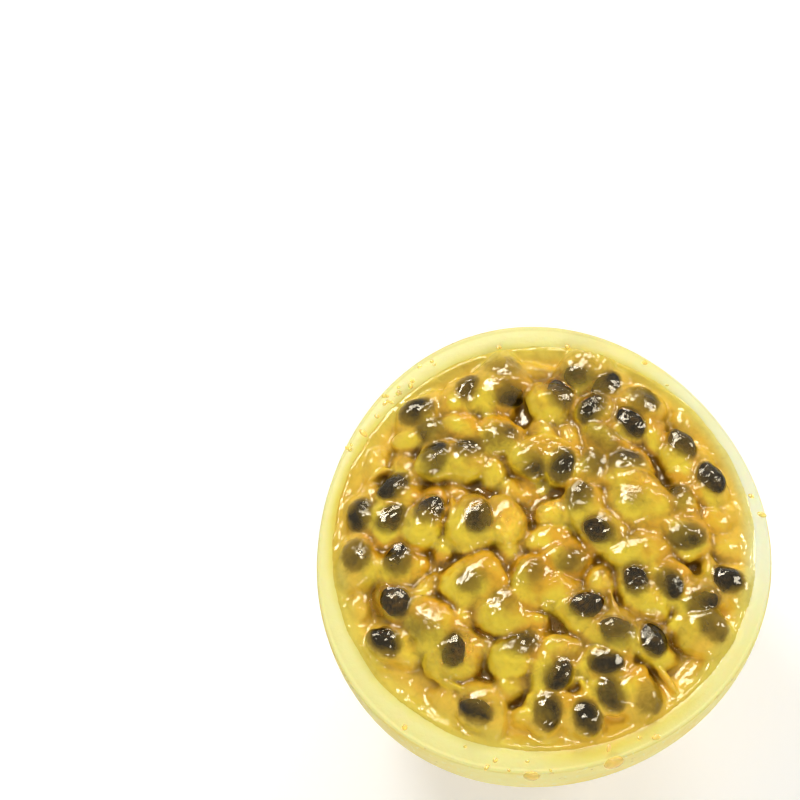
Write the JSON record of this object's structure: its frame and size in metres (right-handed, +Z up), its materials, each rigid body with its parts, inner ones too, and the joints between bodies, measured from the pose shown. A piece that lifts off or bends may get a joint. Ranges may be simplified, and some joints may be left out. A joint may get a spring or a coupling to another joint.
{
  "type": "passion fruit half",
  "caption": "Half of a yellow passion fruit cut across the middle, a thin rind cup full of juicy pulp and dark seeds, lying on its skin with the cut face up",
  "frame": {"origin": "centre of the small flat spot at the blossom end that the half rests on", "axes": "+Z is up through the cut face, +Y is the direction away from the viewer of the picture, +X is to the viewer's right"},
  "size_m": [0.0708, 0.0744, 0.0471],
  "materials": {
    "rind": "satin",
    "pulp": "gloss",
    "seed": "gloss"
  },
  "bodies": {
    "root": {"rind": "rind", "pulp": "pulp", "seed_01": "seed", "seed_02": "seed", "seed_03": "seed", "seed_04": "seed", "seed_05": "seed", "seed_06": "seed", "seed_07": "seed", "seed_08": "seed", "seed_09": "seed", "seed_10": "seed", "seed_11": "seed", "seed_12": "seed", "seed_13": "seed", "seed_14": "seed", "seed_15": "seed", "seed_16": "seed", "seed_17": "seed", "seed_18": "seed", "seed_19": "seed", "seed_20": "seed", "seed_21": "seed", "seed_22": "seed", "seed_23": "seed", "seed_24": "seed", "seed_25": "seed", "seed_26": "seed", "seed_27": "seed", "seed_28": "seed", "seed_29": "seed", "seed_30": "seed", "seed_31": "seed", "seed_32": "seed", "seed_33": "seed", "seed_34": "seed", "seed_35": "seed", "seed_36": "seed", "seed_37": "seed", "seed_38": "seed", "seed_39": "seed", "seed_40": "seed", "seed_41": "seed", "seed_42": "seed", "seed_43": "seed", "seed_44": "seed", "seed_45": "seed", "seed_46": "seed", "seed_47": "seed", "seed_48": "seed", "seed_49": "seed", "seed_50": "seed", "seed_51": "seed", "seed_52": "seed", "seed_53": "seed", "seed_54": "seed", "seed_55": "seed", "seed_56": "seed", "seed_57": "seed", "seed_58": "seed"}
  },
  "joints": []
}
